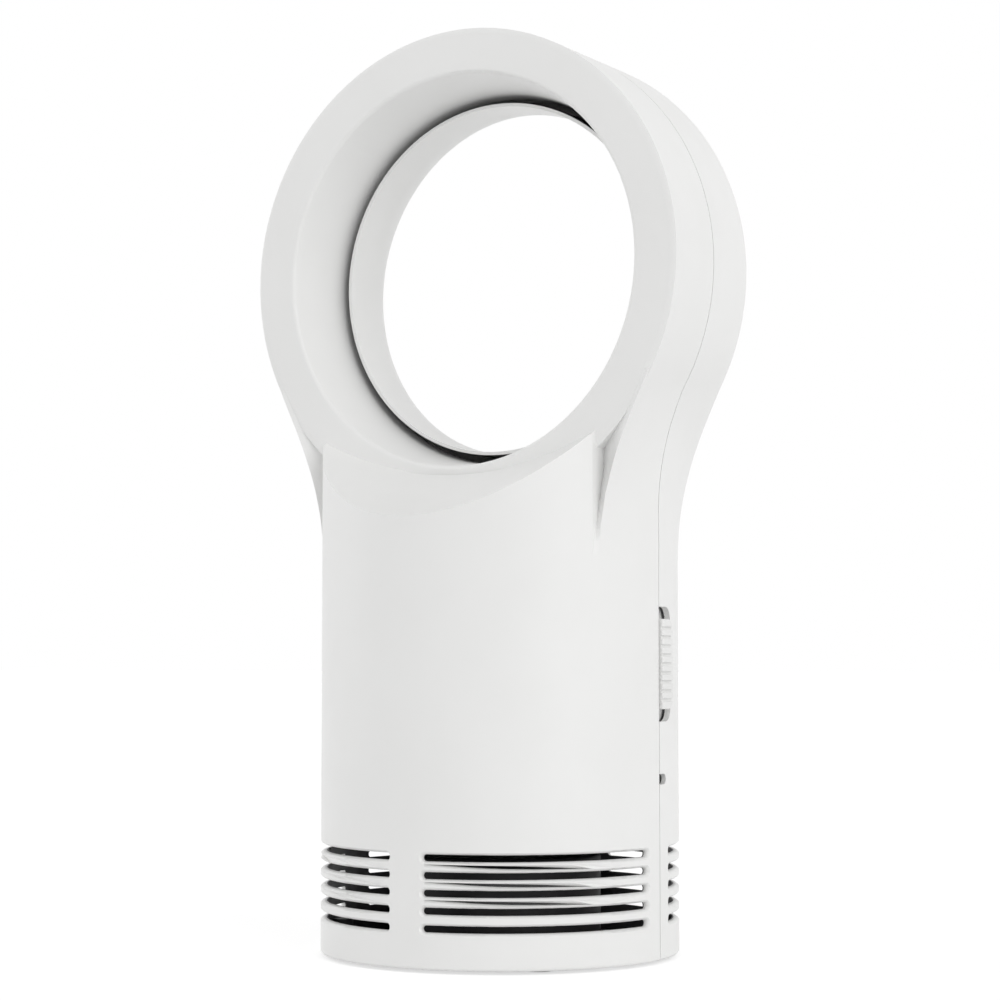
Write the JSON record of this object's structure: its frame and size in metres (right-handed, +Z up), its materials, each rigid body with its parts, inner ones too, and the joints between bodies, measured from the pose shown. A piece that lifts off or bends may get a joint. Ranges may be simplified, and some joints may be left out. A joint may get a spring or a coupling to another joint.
{
  "type": "bladeless fan heater",
  "caption": "Upright bladeless fan heater: round column with inlet slots, open air ring above, and a ribbed slide control at the side.",
  "frame": {"origin": "on the floor, centred under the column", "axes": "+Z up, the air ring faces -Y, +X on the right of someone who looks at its front"},
  "size_m": [0.162, 0.1208, 0.31],
  "materials": {
    "white_shell": "satin moulded white",
    "white_ring": "satin moulded white",
    "white_base": "moulded white, fine texture",
    "white_knob": "moulded white, ribbed",
    "foot_rubber": "soft black rubber",
    "screw_steel": "zinc-plated steel",
    "spring_steel": "polished steel",
    "motor_steel": "drawn steel",
    "dark_plastic": "black moulded",
    "grey_plastic": "dark grey moulded",
    "relay_plastic": "blue moulded",
    "terminal_plastic": "green moulded",
    "circuit_board": "solder mask",
    "smoked_window": "smoked clear plastic",
    "led_resin": "tinted resin",
    "bronze": "bare metal",
    "magnet": "sintered ferrite",
    "mica": "pressed mica",
    "heater_plastic": "black heat-proof moulding",
    "fin_aluminium": "bare folded sheet"
  },
  "bodies": {
    "root": {"front_shell": "white_shell", "rear_shell": "white_shell", "nozzle_ring": "white_ring", "base_plate": "white_base", "rubber_feet": "foot_rubber", "base_screws": "screw_steel", "case_screws": "screw_steel", "electronics_cover": "dark_plastic", "power_board": "circuit_board", "power_screws": "screw_steel", "relays": "relay_plastic", "terminal_block": "terminal_plastic", "tip_switch_body": "dark_plastic", "tip_spring": "spring_steel", "cord_gland": "foot_rubber", "inlet_duct": "grey_plastic", "motor_mount": "grey_plastic", "motor_screws": "screw_steel", "motor_can": "motor_steel", "motor_bearings": "bronze", "motor_end_cap": "dark_plastic", "motor_magnets": "magnet", "motor_isolators": "foot_rubber", "selector_switch": "dark_plastic", "selector_guide": "grey_plastic", "control_board": "circuit_board", "control_screws": "screw_steel", "led_window": "smoked_window", "indicator_led": "led_resin", "indicator_board": "circuit_board", "indicator_screw": "screw_steel", "heater_plate": "mica", "heater_frame": "heater_plastic", "ptc_elements": "fin_aluminium", "heater_fins": "fin_aluminium", "heater_terminals": "bronze", "thermostat": "dark_plastic", "thermal_fuse": "fin_aluminium"},
    "selector": {"selector_knob": "white_knob", "switch_lever": "dark_plastic"},
    "fan": {"impeller": "grey_plastic", "motor_shaft": "spring_steel", "motor_rotor": "motor_steel"},
    "tip_plunger": {"tip_plunger": "white_base"}
  },
  "joints": [
    {"name": "selector_slide", "type": "slide", "parent": "root", "child": "selector", "axis": [0, 0, 1], "range_m": [-0.0036, 0.0036]},
    {"name": "fan_spin", "type": "hinge", "parent": "root", "child": "fan", "pos_m": [0, 0, 0.06], "axis": [0, 0, 1], "continuous": true},
    {"name": "tip_switch_press", "type": "slide", "parent": "root", "child": "tip_plunger", "axis": [0, 0, 1], "range_m": [-0.003, 0], "stiffness_N_per_m": 60, "springref_m": -0.006}
  ]
}
